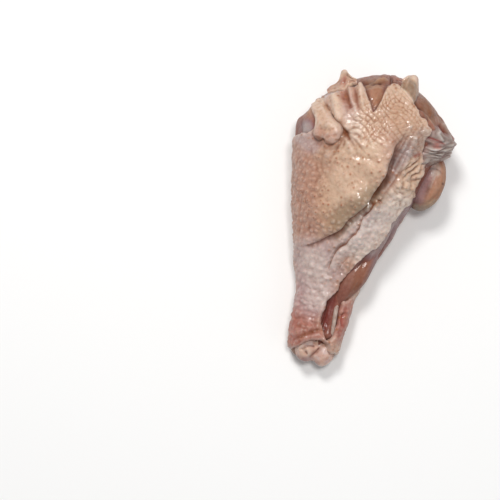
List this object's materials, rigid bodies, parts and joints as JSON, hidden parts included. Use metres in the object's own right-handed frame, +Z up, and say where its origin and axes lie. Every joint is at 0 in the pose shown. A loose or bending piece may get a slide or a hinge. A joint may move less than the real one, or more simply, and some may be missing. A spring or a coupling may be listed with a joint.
{
  "type": "raw turkey drumstick",
  "caption": "Raw poultry drumstick lying down, its pale skin folded, torn and pulled back from the flesh, with gristly joint ends and a bare shin tendon.",
  "frame": {"origin": "middle of the overall box, on the surface that the drumstick lies on", "axes": "+Y along the leg from the ankle end to the knee end, +Z up out of the side shown in the picture, +X to the right of a viewer who looks down with the knee end away"},
  "size_m": [0.1142, 0.2116, 0.0757],
  "materials": {
    "flesh": "raw muscle, wet and smooth",
    "skin": "raw poultry skin, moist, with goose bumps",
    "membrane": "thin wet membrane, crumpled",
    "tendon": "wet tendon",
    "gristle": "wet gristle"
  },
  "bodies": {
    "root": {"flesh": "flesh", "skin": "skin", "membrane": "membrane", "tendon": "tendon", "hock_joint": "gristle", "knee_joint": "gristle"}
  },
  "joints": []
}
